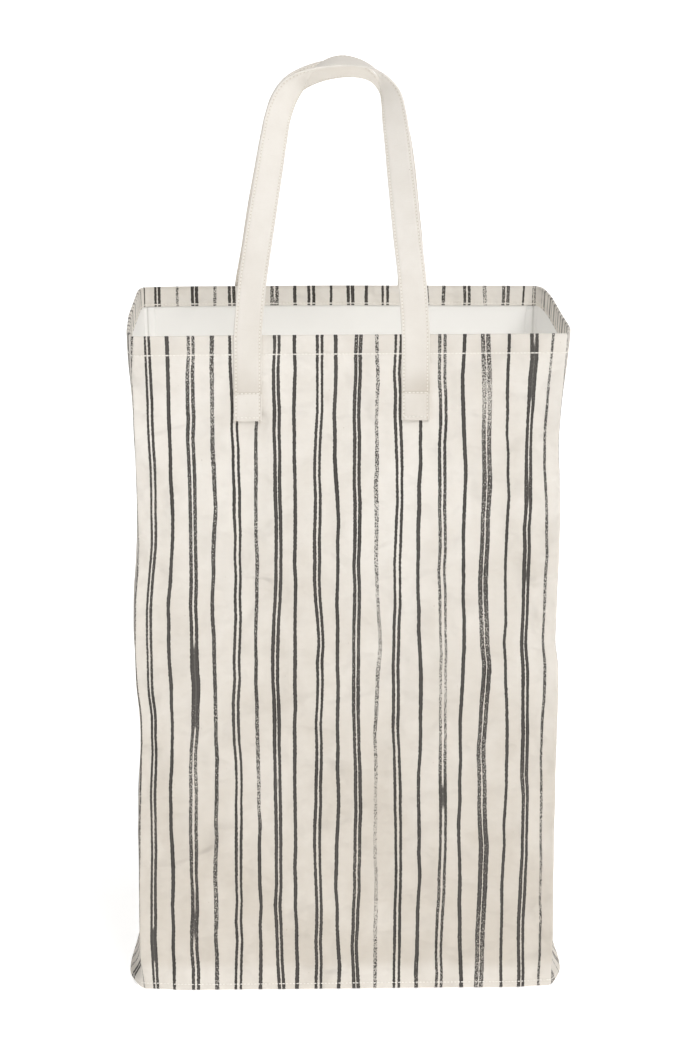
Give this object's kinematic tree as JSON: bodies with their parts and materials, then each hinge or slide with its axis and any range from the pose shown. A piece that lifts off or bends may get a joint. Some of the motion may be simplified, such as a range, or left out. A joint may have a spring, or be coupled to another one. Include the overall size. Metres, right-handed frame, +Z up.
{
  "type": "laundry bag",
  "caption": "Tall rectangular canvas laundry bag with coated inside, turned-in hem, flat base and two sewn strap handles that swing at the rim.",
  "frame": {"origin": "centre of the bag's base on the floor", "axes": "+Z up along the height, +Y from the front panel to the back panel along the depth, +X to the right seen from the front"},
  "size_m": [0.3934, 0.286, 0.8379],
  "materials": {
    "canvas": "plain-woven natural cotton canvas printed with uneven charcoal upright stripes, matt",
    "coating": "smooth white waterproof coating on the inside of the canvas, slight sheen",
    "seam_edge": "raw canvas seam edge, matt",
    "strap": "folded natural canvas strap, plain, topstitched along both edges",
    "thread": "off-white sewing thread"
  },
  "bodies": {
    "bag": {"back_base_stitch": "thread", "back_coating": "coating", "back_hem": "canvas", "back_hem_stitch": "thread", "back_left_seam_allowance": "seam_edge", "back_panel": "canvas", "back_right_seam_allowance": "seam_edge", "base_coating": "coating", "base_panel": "canvas", "base_seam_allowance": "seam_edge", "front_base_stitch": "thread", "front_coating": "coating", "front_handle_left_end": "strap", "front_handle_right_end": "strap", "front_hem": "canvas", "front_hem_stitch": "thread", "front_left_box_stitch": "thread", "front_left_seam_allowance": "seam_edge", "front_panel": "canvas", "front_right_box_stitch": "thread", "front_right_seam_allowance": "seam_edge", "left_side_base_stitch": "thread", "left_side_coating": "coating", "left_side_hem": "canvas", "left_side_hem_stitch": "thread", "left_side_panel": "canvas", "rear_handle_left_end": "strap", "rear_handle_right_end": "strap", "rear_left_box_stitch": "thread", "rear_right_box_stitch": "thread", "right_side_base_stitch": "thread", "right_side_coating": "coating", "right_side_hem": "canvas", "right_side_hem_stitch": "thread", "right_side_panel": "canvas"},
    "front_handle": {"front_handle_strap": "strap"},
    "rear_handle": {"rear_handle_strap": "strap"}
  },
  "joints": [
    {"name": "front_handle_swing", "type": "hinge", "parent": "bag", "child": "front_handle", "pos_m": [0, -0.1428, 0.6053], "axis": [1, 0, 0], "range_deg": [0, 178]},
    {"name": "rear_handle_swing", "type": "hinge", "parent": "bag", "child": "rear_handle", "pos_m": [0, 0.1428, 0.6053], "axis": [-1, 0, 0], "range_deg": [0, 178]}
  ]
}
